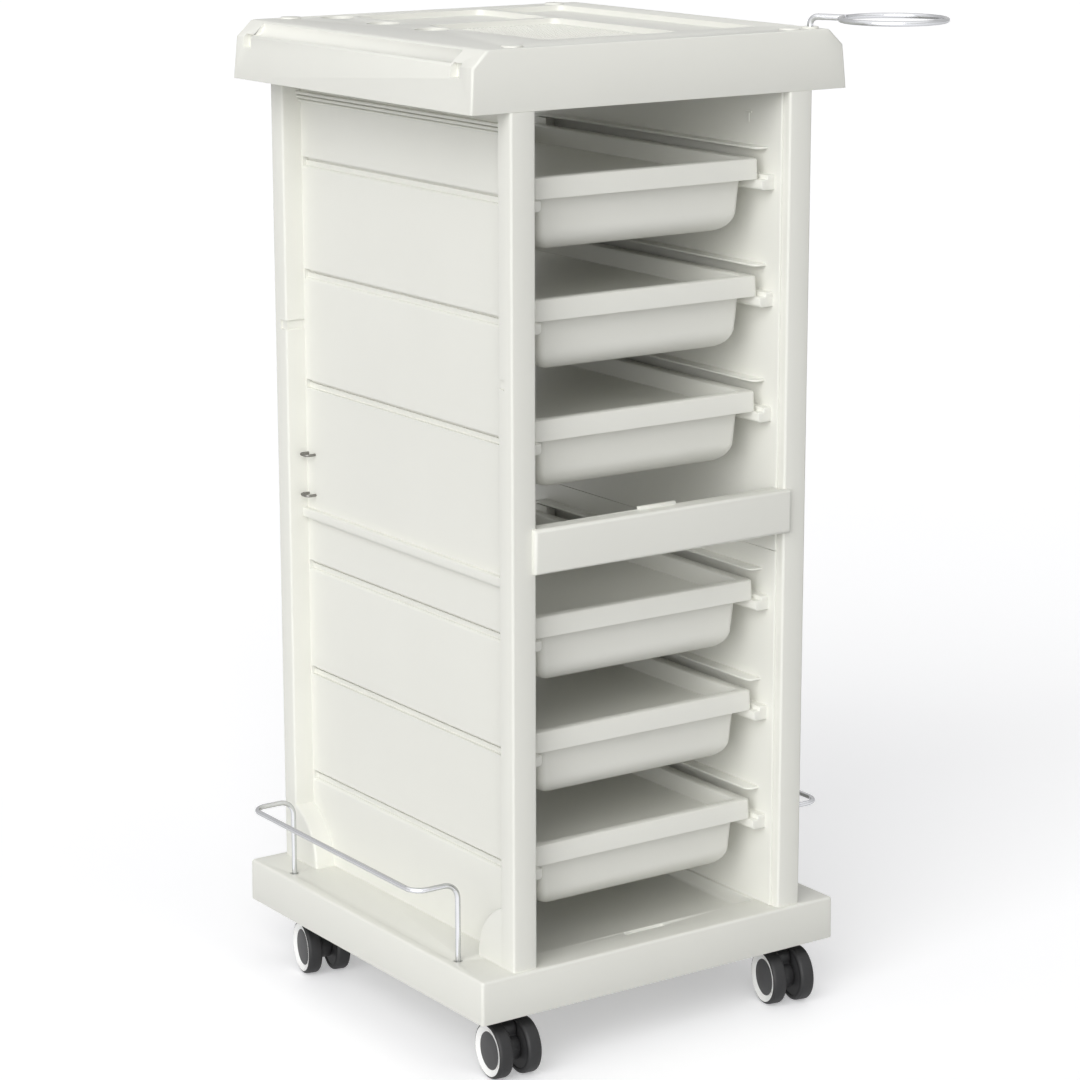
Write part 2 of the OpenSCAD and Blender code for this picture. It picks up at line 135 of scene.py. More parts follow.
def edit(obj, kind="FACE", whole=False):
    """Edit mode with nothing, or everything, selected."""
    only(obj)
    bpy.ops.object.mode_set(mode="EDIT")
    bpy.ops.mesh.select_mode(type=kind)
    bpy.ops.mesh.select_all(action="SELECT" if whole else "DESELECT")


def done():
    """Back from edit mode, with the object."""
    bpy.ops.object.mode_set(mode="OBJECT")
    return bpy.context.object


def choose(obj, kind, test):
    """Edit mode with the faces or edges selected whose middle and normal, or direction, pass the test."""
    edit(obj, kind)
    mesh = bmesh.from_edit_mesh(obj.data)
    for part in (mesh.faces if kind == "FACE" else mesh.edges):
        if kind == "FACE":
            middle, way = place(part.calc_center_median()), part.normal
        else:
            first, last = (place(v.co) for v in part.verts)
            middle, way = (first + last) / 2, (last - first).normalized()
        part.select_set(bool(test(middle, way)))
    bmesh.update_edit_mesh(obj.data)


def block(low, high):
    """A box from its lowest corner to its highest."""
    clear()
    low, high = Vector(low), Vector(high)
    bpy.ops.mesh.primitive_cube_add(size=1, location=at(*((low + high) / 2)), scale=(high - low) * MM)
    return settle(bpy.context.object)


def round_edges(obj, radius, test, steps=5):
    """Rounds the edges whose middle and direction pass the test."""
    choose(obj, "EDGE", test)
    bpy.ops.mesh.bevel(offset=radius * MM, segments=steps, affect="EDGES", clamp_overlap=True)
    done()
    return obj


def slab(low, high, radius, steps=5):
    """A block with rounded upright edges."""
    return round_edges(block(low, high), radius, lambda m, w: abs(w.z) > 0.9, steps)


def rod(foot, radius, height, axis="Z", sides=40):
    """A plain round bar from its foot, used to cut with and to build on."""
    clear()
    turn = {"X": (0, math.pi / 2, 0), "Y": (-math.pi / 2, 0, 0), "Z": (0, 0, 0)}[axis]
    way = {"X": Vector((1, 0, 0)), "Y": Vector((0, 1, 0)), "Z": Vector((0, 0, 1))}[axis]
    bpy.ops.mesh.primitive_cylinder_add(vertices=sides, radius=radius * MM, depth=height * MM,
                                        location=at(*(Vector(foot) + way * height / 2)), rotation=turn)
    return settle(bpy.context.object)


def together(*objs):
    """Joins pieces into the first one."""
    clear()
    for obj in objs:
        obj.select_set(True)
    bpy.context.view_layer.objects.active = objs[0]
    bpy.ops.object.join()
    return bpy.context.object


def combine(obj, others, operation):
    tool = together(*others) if len(others) > 1 else others[0]
    only(obj)
    step = obj.modifiers.new("Combine", "BOOLEAN")
    step.operation, step.object, step.solver = operation, tool, "EXACT"
    step.use_self = operation == "UNION" and len(others) > 1
    bpy.ops.object.modifier_apply(modifier=step.name)
    bpy.data.objects.remove(tool)
    return obj


def carve(obj, *tools):
    return combine(obj, tools, "DIFFERENCE")


def fuse(obj, *parts):
    return combine(obj, parts, "UNION")


def soften(obj, radius, steps=2, angle=35):
    """Breaks every edge sharper than the angle."""
    only(obj)
    step = obj.modifiers.new("Soften", "BEVEL")
    step.width, step.segments = radius * MM, steps
    step.limit_method, step.angle_limit = "ANGLE", math.radians(angle)
    step.use_clamp_overlap = False
    bpy.ops.object.modifier_apply(modifier=step.name)
    return obj


def tidy_mesh(obj, weld=0.004):
    edit(obj, "VERT", whole=True)
    bpy.ops.mesh.remove_doubles(threshold=weld * MM)
    bpy.ops.mesh.normals_make_consistent(inside=False)
    return done()


def slice_off(obj, point, normal):
    """Cuts the piece at a plane, takes away the side that the normal points to and closes the cut."""
    edit(obj, "FACE", whole=True)
    bpy.ops.mesh.bisect(plane_co=at(*point), plane_no=normal, use_fill=True, clear_outer=True)
    return done()


def copy_of(obj, shift=(0, 0, 0)):
    """A copy with its own mesh, moved by a shift in millimetres."""
    only(obj)
    bpy.ops.object.duplicate()
    new = bpy.context.object
    if Vector(shift).length > 0:
        edit(new, "VERT", whole=True)
        bpy.ops.transform.translate(value=Vector(shift) * MM)
        done()
    return new


def mirrored(obj, x=1, y=1):
    """A copy turned over across the middle of the trolley."""
    new = copy_of(obj)
    edit(new, "VERT", whole=True)
    bpy.ops.transform.resize(value=(x, y, 1), center_override=at(0, 0, 0))
    bpy.ops.mesh.normals_make_consistent(inside=False)
    return done()


def ring_of_points(centre, axis, radius, sides):
    clear()
    turn = Vector(axis).to_track_quat("Z", "Y").to_euler()
    bpy.ops.mesh.primitive_circle_add(vertices=sides, radius=radius * MM, location=at(*centre), rotation=turn)
    obj = settle(bpy.context.object)
    edit(obj, "EDGE", whole=True)
    return obj


def close_ends(obj):
    bpy.ops.mesh.select_all(action="SELECT")
    bpy.ops.mesh.remove_doubles(threshold=0.002 * MM)
    bpy.ops.mesh.select_all(action="DESELECT")
    bpy.ops.mesh.select_non_manifold(extend=False)
    bpy.ops.mesh.fill_holes(sides=0)
    bpy.ops.mesh.select_all(action="SELECT")
    bpy.ops.mesh.normals_make_consistent(inside=False)
    return done()


def turned(centre, axis, outline, sides=64):
    """A turned body. The outline is (radius, distance along the axis) from point to point."""
    way = Vector(axis)
    (radius, along), *rest = outline
    obj = ring_of_points(Vector(centre) + way * along, axis, radius, sides)
    for next_radius, next_along in rest:
        bpy.ops.mesh.extrude_region_move(TRANSFORM_OT_translate={"value": way * (next_along - along) * MM})
        if next_radius != radius:
            ratio = next_radius / radius
            here = at(*(Vector(centre) + way * next_along))
            bpy.ops.transform.resize(value=(ratio,) * 3, center_override=here)
        radius, along = next_radius, next_along
    return close_ends(obj)


def wire(start, heading, radius, route, sides=20):
    """A round wire. The route holds runs, as a vector, and bends, as (centre, axis, degrees)."""
    obj = ring_of_points(start, heading, radius, sides)
    for stretch in route:
        if len(stretch) == 3 and not isinstance(stretch[0], (tuple, Vector)):
            bpy.ops.mesh.extrude_region_move(TRANSFORM_OT_translate={"value": Vector(stretch) * MM})
        else:
            centre, axis, degrees = stretch
            bpy.ops.mesh.spin(steps=10, angle=-math.radians(degrees), center=at(*centre), axis=axis)
    return close_ends(obj)


def arc(cx, cy, radius, first, last, steps=6):
    """Points of an arc, for a turned outline."""
    angles = [math.radians(first + (last - first) * i / steps) for i in range(steps + 1)]
    return [(cx + radius * math.cos(a), cy + radius * math.sin(a)) for a in angles]


def finished(obj, name, material, body, slot, *nodes, angle=32):
    """Names a piece, gives it its finish, puts it on its body and lets it stand for its CAD nodes."""
    obj.name = obj.data.name = name
    tidy_mesh(obj)
    only(obj)
    bpy.ops.object.shade_smooth_by_angle(angle=math.radians(angle))
    obj.data.materials.clear()
    obj.data.materials.append(material)
    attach(obj, body)
    if nodes:
        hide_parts(*nodes)
    return obj


# ---------- finishes ----------

class Value:
    """A shader socket. Arithmetic on it adds Math nodes."""

    def __init__(self, paint, socket):
        self.paint, self.socket = paint, socket

    def _math(self, operation, first, second):
        return self.paint.node("Math", {"operation": operation}, {0: first, 1: second})

    def __add__(self, other):
        return self._math("ADD", self, other)

    def __mul__(self, other):
        return self._math("MULTIPLY", self, other)

    __radd__, __rmul__ = __add__, __mul__


class Paint:
    """A node material for one finish."""

    def __init__(self, name):
        self.material = bpy.data.materials.new(name)
        self.material.use_nodes = True
        self.tree = self.material.node_tree
        self.tree.nodes.clear()
        self.here = self.node("TexCoord", out="Object")

    def node(self, kind, settings=None, sockets=None, out=0):
        node = self.tree.nodes.new("ShaderNode" + kind)
        for name, value in (settings or {}).items():
            setattr(node, name, value)
        for name, value in (sockets or {}).items():
            if isinstance(value, Value):
                self.tree.links.new(value.socket, node.inputs[name])
            else:
                node.inputs[name].default_value = value
        return Value(self, node.outputs[out])

    def noise(self, scale, detail=2.0, rough=0.5, stretch=None):
        place_on = self.here
        if stretch:
            place_on = self.node("Mapping", None, {"Vector": self.here, "Scale": stretch})
        return self.node("TexNoise", None, {"Vector": place_on, "Scale": scale, "Detail": detail,
                                            "Roughness": rough})

    def blend(self, amount, first, second):
        """A colour between two others."""
        return self.node("Mix", {"data_type": "RGBA"}, {0: amount, 6: first, 7: second}, out=2)

    def bump(self, height, distance, strength, under=None):
        sockets = {"Height": height, "Distance": distance, "Strength": strength}
        if under:
            sockets["Normal"] = under
        return self.node("Bump", None, sockets)

    def finish(self, **sockets):
        names = {name.replace("_", " "): value for name, value in sockets.items()}
        shader = self.node("BsdfPrincipled", None, names)
        output = self.tree.nodes.new("ShaderNodeOutputMaterial")
        self.tree.links.new(shader.socket, output.inputs["Surface"])
        return self.material


def tone(red, green, blue, share=1.0):
    """A colour given as it looks on a screen, turned into the shader's linear numbers."""
    def linear(c):
        c = min(c * share, 255) / 255
        return c / 12.92 if c <= 0.04045 else ((c + 0.055) / 1.055) ** 2.4
    return (linear(red), linear(green), linear(blue), 1.0)


def moulded_plastic(name, colour, rough=0.42, grain=1.0, cloud=0.012):
    """Satin injection-moulded plastic: a faint cloudiness, flow streaks and a fine spark-eroded grain."""
    paint = Paint(name)
    clouds = paint.noise(9, 3)
    streaks = paint.noise(22, 2, 0.4, stretch=(1.0, 1.0, 0.12))
    amount = clouds * 0.7 + streaks * 0.3
    shade = paint.blend(amount, tone(*colour, 1 - cloud), tone(*colour, 1 + cloud))
    fine = paint.noise(1500, 2, 0.6)
    coarse = paint.noise(320, 2, 0.5)
    waves = paint.noise(16, 1, 0.4)
    skin = paint.bump(fine * 0.6 + coarse * 0.4, 0.00006, 0.22 * grain)
    surface = paint.bump(waves, 0.0012, 0.06, skin)
    return paint.finish(Base_Color=shade, Roughness=rough - 0.05 + clouds * 0.06 + coarse * 0.05,
                        Normal=surface, IOR=1.46)


def bright_wire(name, colour=(236, 237, 240), rough=0.13, drawn=0.5):
    """Chromed or drawn wire: clean metal with painted shade that darkens it towards the sides turned away
    from the view, with haze and fine drawing lines.
    """
    paint = Paint(name)
    haze = paint.noise(60, 3)
    lines = paint.noise(900, 2, 0.5)
    # painted shade: the colour darkens towards the wire's sides as they turn away from the view
    painted_edge_shade = paint.node("LayerWeight", None, {"Blend": 0.42}, out=1)
    clean = paint.blend(haze, tone(*colour, 0.96), tone(*colour, 1.02))
    shade = paint.blend(painted_edge_shade, clean, tone(*colour, 0.6))
    surface = paint.bump(lines, 0.00003, 0.15 * drawn)
    return paint.finish(Base_Color=shade, Metallic=1.0, Roughness=rough + haze * 0.08 + lines * 0.05,
                        Normal=surface)


def caster_black(name, colour, rough, grain):
    """Black moulded plastic or tyre rubber, with dust haze in its roughness."""
    paint = Paint(name)
    haze = paint.noise(45, 3)
    grains = paint.noise(1100, 2, 0.6)
    shade = paint.blend(haze, tone(*colour, 0.85), tone(*colour, 1.18))
    surface = paint.bump(grains, 0.00008, 0.25 * grain)
    return paint.finish(Base_Color=shade, Roughness=rough + haze * 0.1 + grains * 0.05, Normal=surface)


FRAME_PLASTIC = moulded_plastic("frame_off_white", (229, 229, 222))
TOP_PLASTIC = moulded_plastic("top_tray_off_white", (230, 230, 223))
TRAY_PLASTIC = moulded_plastic("pull_out_tray_off_white", (229, 229, 222), rough=0.38, grain=0.8)
CHROME = bright_wire("chromed_wire")
CLIP_STEEL = bright_wire("clip_wire_steel", (150, 148, 144), 0.25, 1.0)
ZINC = bright_wire("zinc_plated_screw", (168, 170, 175), 0.32, 1.6)
STEM_STEEL = bright_wire("caster_stem_steel", (150, 152, 156), 0.3, 1.4)
HOUSING_BLACK = caster_black("caster_housing_black", (32, 32, 33), 0.42, 1.0)
HUB_BLACK = caster_black("wheel_hub_charcoal", (54, 54, 55), 0.45, 1.2)
TYRE_BLACK = caster_black("tyre_black", (29, 29, 30), 0.5, 0.8)
RING_WHITE = moulded_plastic("wheel_ring_white", (250, 250, 248), rough=0.3, grain=0.4, cloud=0.006)


# ---------- base ----------

def base_moulding():
    """The base: a skirt that leans in, a sunken floor, the front lip's slot and the bosses underneath."""
    wall, floor_depth, skirt_r, edge_r, lean = 3.5, 12.5, 3, 2.6, 0.998
    pan_x, pan_y = PANEL_IN - 3, COLUMN_Y - 27
    slot_x, slot_depth = 21.5, 2.5
    body = block(base_low, base_high)
    choose(body, "FACE", lambda m, n: n.z > 0.9)
    bpy.ops.transform.resize(value=(lean, lean, 1), center_override=at(0, 0, BASE_TOP))
    done()
    round_edges(body, skirt_r, lambda m, w: abs(w.z) > 0.8, 6)
    round_edges(body, edge_r, lambda m, w: m.z > BASE_TOP - 0.1, 5)
    # hollow underneath
    carve(body, slab((base_low.x + wall, base_low.y + wall, base_low.z - 5),
                     (base_high.x - wall, base_high.y - wall, BASE_TOP - wall), 1.5, 3))
    floor_z = BASE_TOP - floor_depth
    fuse(body, slab((-pan_x - wall, -pan_y - wall, floor_z - wall),
                    (pan_x + wall, pan_y + wall, BASE_TOP - 1), 5))
    carve(body, round_edges(slab((-pan_x, -pan_y, floor_z), (pan_x, pan_y, BASE_TOP + 5), 4), 2.5,
                            lambda m, w: m.z < floor_z + 0.1, 3))
    # finger slot in the front lip, and the holes for the rail posts
    carve(body, slab((-slot_x, -pan_y - 8, BASE_TOP - slot_depth), (slot_x, -pan_y - 2, BASE_TOP + 1), 2.9))
    for x in BOTH:
        for y in BOTH:
            carve(body, rod((x * RAIL_X, y * RAIL_Y, BASE_TOP - 12), 4.0, 13, sides=28))
    soften(body, 0.9, 2, 50)
    # a socket for each caster's stem, and a post for each screw into a column
    bosses = []
    post_x, post_y = 9, 7
    for x in BOTH:
        for y in BOTH:
            centre = (x * CASTER_X, y * CASTER_Y, base_low.z + 0.5)
            bosses.append(turned(centre, (0, 0, 1), [(5.2, 0), (11, 0), (12, 1), (12, 36)], 40))
            low = (x * SCREW_X - post_x, y * BASE_SCREW_Y - post_y, base_low.z + 4)
            bosses.append(slab(low, (low[0] + 2 * post_x, low[1] + 2 * post_y, BASE_TOP - 2), 3))
    body = together(body, *bosses)
    finished(body, "base_moulding", FRAME_PLASTIC, "frame", "frame_plastic", "base_tray")


# ---------- columns and crossbars ----------

def column():
    """The rear right column, with the foot that spreads along the side."""
    post = slab((INNER_X, INNER_Y, BASE_TOP), (COLUMN_X + WIDER, COLUMN_Y + PROUDER, LID_Z), 2.4, 4)
    # slot for a clip, round the corner beside the panel
    slot_low, slot_high = LID_Z - 229.7, LID_Z - 221.2
    carve(post, block((PANEL_OUT, INNER_Y - 1, slot_low), (COLUMN_X + 3, INNER_Y + 1.8, slot_high)))
    carve(post, block((COLUMN_X - 0.4, INNER_Y - 1, slot_low), (COLUMN_X + 3, INNER_Y + 9.6, slot_high)))
    spread, height, middle = 56, 57, COLUMN_Y + 2
    foot = rod((PANEL_OUT + 0.05, middle, BASE_TOP), 1, COLUMN_X + 1.2 - PANEL_OUT, "X", 96)
    edit(foot, "VERT", whole=True)
    bpy.ops.transform.resize(value=(1, spread, height), center_override=at(0, middle, BASE_TOP))
    done()
    slice_off(foot, (0, 0, BASE_TOP), (0, 0, -1))
    slice_off(foot, (0, INNER_Y + 6, 0), (0, 1, 0))
    round_edges(foot, 2.4, lambda m, w: m.x > COLUMN_X + 1 and m.z > BASE_TOP + 0.1
                and m.y < INNER_Y + 5.9, 4)
    return together(post, foot)


def columns():
    first = column()
    for end, y in ENDS.items():
        for side, x in SIDES.items():
            name = f"{end}_{side}"
            piece = copy_of(first) if (x, y) == (1, 1) else mirrored(first, x, y)
            finished(piece, f"post_{name}", FRAME_PLASTIC, "frame", "frame_plastic", f"column_{name}")
    bpy.data.objects.remove(first)


def front_bar():
    """The front crossbar: a shell with a rounded face, and the tab that stands behind its top."""
    low, high = bar_low + Vector((WIDER, -PROUDER, 0)), bar_high - Vector((WIDER, 0, 0))
    top, tab_x, tab_rise = low.z + 39, 20, 2.6
    bar = block((low.x, low.y, low.z), (high.x, -COLUMN_Y - 1, top))
    round_edges(bar, 3.2, lambda m, w: m.y < low.y + 0.1, 5)
    back = block((-PANEL_IN + 0.5, -COLUMN_Y - 3, low.z), (PANEL_IN - 0.5, -COLUMN_Y + 10, top))
    round_edges(back, 1.5, lambda m, w: m.y > -COLUMN_Y + 9, 2)
    tab = slab((-tab_x, -COLUMN_Y + 5.5, top - 1), (tab_x, -COLUMN_Y + 9.5, top + tab_rise), 1.2, 2)
    fuse(bar, back)
    fuse(bar, tab)
    carve(bar, block((-PANEL_IN + 4, low.y + 3, low.z - 1), (PANEL_IN - 4, -COLUMN_Y + 7, top - 3)))
    return soften(bar, 0.6, 2, 50)


def crossbars():
    bar = front_bar()
    finished(mirrored(bar, 1, -1), "rear_bar", FRAME_PLASTIC, "frame", "frame_plastic", "rear_crossbar")
    finished(bar, "front_bar", FRAME_PLASTIC, "frame", "frame_plastic", "front_crossbar")


# ---------- side panels ----------

def runner(top):
    """What one tray runs on: a block stepped under the rim, the thin rib over the lugs, and two stops.
    The given height is the rim's top."""
    front, back = RIM_FRONT - 7, INNER_Y - 1
    low, step_z, shelf = top - RIM_H - 9.5, top - RIM_H - 0.3, top - 14.5
    corner = RIM_X + 3.7
    rail = block((RIM_X - 2.5, front, low), (PANEL_IN + 1, back, step_z))
    edit(rail, "FACE", whole=True)
    bpy.ops.mesh.bisect(plane_co=at(corner, 0, 0), plane_no=(1, 0, 0))
    done()
    choose(rail, "FACE", lambda m, n: n.z > 0.9 and m.x > corner)
    bpy.ops.mesh.extrude_region_move(TRANSFORM_OT_translate={"value": (0, 0, (shelf - step_z) * MM)})
    done()
    round_edges(rail, 3.0, lambda m, w: m.x < RIM_X - 2.4 and m.z < low + 0.1 and abs(w.y) > 0.9, 5)
    round_edges(rail, 1.0, lambda m, w: m.y < front + 0.1 and not (abs(w.z) > 0.9 and m.z < step_z
                and m.x > RIM_X), 3)
    rib = block((RIM_X - 1, RIM_FRONT + 3, top + 7), (PANEL_IN + 1, back, top + 9))
    round_edges(rib, 7, lambda m, w: abs(w.z) > 0.9 and m.x < RIM_X and m.y < 0, 6)
    round_edges(rib, 0.7, lambda m, w: abs(w.z) < 0.1 and m.x < PANEL_IN, 2)
    stop_low, stop_high = RIM_BACK - LUG_D - 0.3 - TRAVEL, RIM_BACK + 0.3
    stops = [block((RIM_X + 1, stop_low - 5, shelf - 1), (PANEL_IN - 2, stop_low, top - 7.5)),
             block((RIM_X + 1, stop_high, shelf - 1), (PANEL_IN + 1, back + 3, top - 4))]
    stops = [round_edges(stop, 0.8, lambda m, w: m.z > shelf, 2) for stop in stops]
    return [rail, rib] + stops


def board(z_low, z_high, tops):
    """A panel's flat board with a groove at each tray, and the lining that laps over the columns inside."""
    half, groove_d, slot_d = 4, 3.4, 6.2
    sheet = block((PANEL_IN + 1, -INNER_Y + 0.05, z_low), (PANEL_OUT, INNER_Y - 0.05, z_high))
    for top in tops:
        middle, end = top - RIM_H, INNER_Y - 2.5
        carve(sheet, block((PANEL_OUT - groove_d, -end, middle - half), (PANEL_OUT + 3, end, middle + half)))
        carve(sheet, block((PANEL_OUT - slot_d, -end, middle + 0.6), (PANEL_OUT - 1, end, middle + half)))
    round_edges(sheet, 2.8, lambda m, w: abs(w.y) > 0.9 and m.x > PANEL_OUT - 0.1
                and any(abs(m.z - (t - RIM_H - half)) < 0.3 for t in tops), 4)
    lining = block((PANEL_IN, -LINING_Y, z_low + 0.3), (INNER_X - 0.15, COLUMN_Y - 0.2, z_high - 0.3))
    round_edges(lining, 0.8, lambda m, w: m.x < PANEL_IN + 0.1 and abs(w.z) > 0.9, 3)
    return together(sheet, lining)


def clip_mark(y, z, wide, tall):
    """A small raised mark on the inside of a panel."""
    mark = block((PANEL_IN - 0.9, y - wide / 2, z - tall), (PANEL_IN + 0.5, y + wide / 2, z))
    return round_edges(mark, 0.4, lambda m, w: m.x < PANEL_IN - 0.8, 2)


def upper_panel():
    """The upper right panel: three ridges under the top tray, the ledge, the runners and the marks inside."""
    tops = RIMS[:3]
    sheet = board(SPLIT_Z, LID_Z, tops)
    ridges = []
    for drop, tall, out in ((13.0, 2.6, 5.0), (16.8, 2.4, 3.8), (20.4, 2.2, 2.6)):
        ridge = block((PANEL_OUT - 1, -INNER_Y + 0.1, LID_Z - drop - tall),
                      (PANEL_OUT + out, INNER_Y - 0.1, LID_Z - drop))
        ridges.append(round_edges(ridge, 0.8, lambda m, w, out=out: m.x > PANEL_OUT + out - 0.1
                                  and abs(w.y) > 0.9, 3))
    ledge = block((PANEL_OUT - 1, -INNER_Y + 0.1, SPLIT_Z), (PANEL_OUT + LEDGE, INNER_Y - 0.1, SPLIT_Z + 8.5))
    round_edges(ledge, 1.0, lambda m, w: m.x > PANEL_OUT + 5 and abs(w.y) > 0.9, 3)
    parts = [part for top in tops for part in runner(top)]
    marks = []
    for y in BOTH:
        marks += [clip_mark(y * MARK_Y, MARK_Z, 8, 1.6), clip_mark(y * MARK_Y, MARK_Z - 1.2, 1.8, 8)]
        marks += [clip_mark(y * (MARK_Y + 3) + side, SPLIT_Z + 13, 2, 10) for side in (-4.5, 4.5)]
    return together(sheet, *ridges, ledge, *parts, *marks)


def lower_panel():
    tops = RIMS[3:]
    sheet = board(BASE_TOP, SPLIT_Z, tops)
    return together(sheet, *[part for top in tops for part in runner(top)])


def side_panels():
    for level, make in (("upper", upper_panel), ("lower", lower_panel)):
        right = make()
        left = mirrored(right, -1)
        for side, piece in (("right", right), ("left", left)):
            finished(piece, f"side_{level}_{side}", FRAME_PLASTIC, "frame", "frame_plastic",
                     f"side_panel_{level}_{side}")


# ---------- pull-out trays ----------

def tray():
    """The first tray, drawn as one thin moulding: skirt, rim, walls, round lower edge and floor."""
    top = RIMS[0]
    middle, reach = (RIM_FRONT + RIM_BACK) / 2, (RIM_BACK - RIM_FRONT) / 2
    centre, wide = at(0, middle, top), RIM_X + 1.3
    clear()
    bpy.ops.mesh.primitive_plane_add(size=1, location=at(0, middle, top - RIM_H))
    shell = bpy.context.object
    shell.scale = (2 * wide * MM, 2 * reach * MM, 1)
    settle(shell)
    edit(shell, "VERT", whole=True)
    bpy.ops.mesh.bevel(offset=5 * MM, segments=6, affect="VERTICES")
    bpy.ops.mesh.select_mode(type="FACE")
    bpy.ops.mesh.select_all(action="SELECT")

    def lift(by, x=1.0, y=1.0):
        bpy.ops.mesh.extrude_region_move(TRANSFORM_OT_translate={"value": (0, 0, by * MM)})
        bpy.ops.transform.resize(value=(x, y, 1), center_override=centre)

    half_x, half_y = wide, reach

    def draw_in(x, y, by):
        nonlocal half_x, half_y
        lift(by, (half_x - x) / half_x, (half_y - y) / half_y)
        half_x, half_y = half_x - x, half_y - y

    # up the rim and over its edge, across its top, and down the wall to the round lower edge
    turn_r, steps = 17, 8
    draw_in(0.6, 0.6, RIM_H - 2.0)
    draw_in(0.5, 0.5, 1.3)
    draw_in(1.5, 1.5, 0.7)
    draw_in(8.6, 6.0, 0.0)
    draw_in(1.2, 1.2, -0.5)
    draw_in(0.8, 0.8, -1.6)
    draw_in(3.4, 2.6, -(TRAY_H - TRAY_WALL - turn_r - 3.1))
    for i in range(steps):
        a, b = (math.radians(90 * k / steps) for k in (i, i + 1))
        inwards, down = turn_r * (math.cos(a) - math.cos(b)), turn_r * (math.sin(b) - math.sin(a))
        draw_in(inwards, inwards, -down)
    done()
    tidy_mesh(shell)
    only(shell)
    step = shell.modifiers.new("Wall", "SOLIDIFY")
    step.thickness, step.offset, step.use_even_offset = TRAY_WALL * MM, -1, True
    bpy.ops.object.modifier_apply(modifier=step.name)
    lugs = []
    for x in BOTH:
        ends = sorted((x * (RIM_X - 1), x * (PANEL_IN - 2.5)))
        lug = block((ends[0], RIM_BACK - LUG_D, top - 14), (ends[1], RIM_BACK, top + LUG_TOP))
        lugs.append(round_edges(lug, 1.5, lambda m, w, x=x: x * m.x > PANEL_IN - 2.6, 3))
    return together(shell, *lugs)


def trays():
    first = tray()
    for i, top in enumerate(RIMS):
        piece = copy_of(first, (0, 0, top - RIMS[0])) if i else first
        node = f"tray_{i + 1}"
        finished(piece, f"pull_out_{node}", TRAY_PLASTIC, node, "tray_plastic", node, angle=28)


# ---------- top tray ----------

def top_tray():
    """The top tray, from a block: chamfered sides, hollow under, and the sunken areas, cups and channels."""
    side, front, back = lid_high.x, lid_low.y, lid_high.y
    chamfer, wall, deep = 14, 4, 5
    floor_z = LID_TOP - deep
    body = block(lid_low, lid_high)
    choose(body, "FACE", lambda m, n: n.z > 0.9)
    bpy.ops.transform.resize(value=((side - 4) / side, (back - 2.5) / back, 1),
                             center_override=at(0, 0, LID_TOP))
    done()
    round_edges(body, chamfer, lambda m, w: m.z > LID_TOP - 0.1 and abs(w.y) > 0.9, 1)
    round_edges(body, 2.4, lambda m, w: abs(m.y) > back - 5 and (abs(w.z) > 0.9 or (abs(w.z) > 0.5
                and abs(w.x) > 0.5)), 5)
    round_edges(body, 1.6, lambda m, w: m.z > LID_TOP - 0.1, 3)
    # hollow underneath, in two steps that follow the chamfer, with a seat over each column
    skirt = slab((-side + wall + 2, front + wall, LID_Z - 5), (side - wall - 2, back - wall, LID_Z + 16), 3)
    crown = slab((-side + 21, front + wall + 3, LID_Z + 10), (side - 24, back - wall - 3, LID_TOP - 19), 3)
    carve(body, fuse(skirt, crown))
    seats = []
    seat_x, seat_low, seat_d = 14, 10, 20.5
    for x in BOTH:
        for y in BOTH:
            low = (x * SCREW_X - seat_x, y * 177 - seat_low, LID_Z)
            seats.append(slab(low, (low[0] + 2 * seat_x, low[1] + seat_d, LID_TOP - 9), 2))
    side_x = side - chamfer - 38
    mat_x = (-side + 110, side_x - 91)
    front_y, back_y, mat_d = front + 54, back - 30, 182
    # the mat area, the long one beside it and the one behind it, and three cups in a row
    corner_r, rim_w, above = 8, 10, LID_TOP + 5
    tools = [slab((mat_x[0], front_y, floor_z), (mat_x[1], front_y + mat_d, above), corner_r, 6),
             slab((mat_x[1] + rim_w, front_y + 5, floor_z), (side_x, back_y, above), corner_r, 6),
             slab((mat_x[0], front_y + mat_d + rim_w, floor_z), (mat_x[1], back_y, above), corner_r, 6)]
    cup_r, cup_depth, cup_pitch = 15, 14, 78
    tools += [rod((mat_x[0] - 19, back_y - 2.5 - cup_pitch * i, LID_TOP - cup_depth), cup_r, 20, sides=64)
              for i in range(3)]
    carve(body, *tools)
    # a shallow round channel along each side, with a notch in the wall's edge at both ends
    channel_r, notch_d, edge_z = 9, 13, LID_TOP - chamfer
    for x in BOTH:
        carve(body, rod((x * (side - 7.1), front + 36, LID_TOP - 3.3), channel_r, back - front - 66, "Y", 64))
        ends = sorted((x * (side - 9.1), x * (side + 5)))
        for y in (front + 21, back - 28.5):
            carve(body, block((ends[0], y, edge_z - 9), (ends[1], y + notch_d, edge_z + 2.5)))
    # counterbores for the caps, and the bore for the ring's bush
    tools = [rod((x * SCREW_X, y * LID_SCREW_Y, LID_TOP - 3), 9.4, 8, sides=48) for x in BOTH for y in BOTH]
    post_x, post_y = side - chamfer - 14, front + 17
    tools.append(rod((post_x, post_y, LID_TOP - 12), 6, 20, sides=32))
    carve(body, *tools)
    soften(body, 0.6, 2, 60)
    body = together(body, *seats)
    finished(body, "top_tray", TOP_PLASTIC, "frame", "top_plastic", "lid_tray", angle=30)
    return mat_x, front_y, mat_d, floor_z


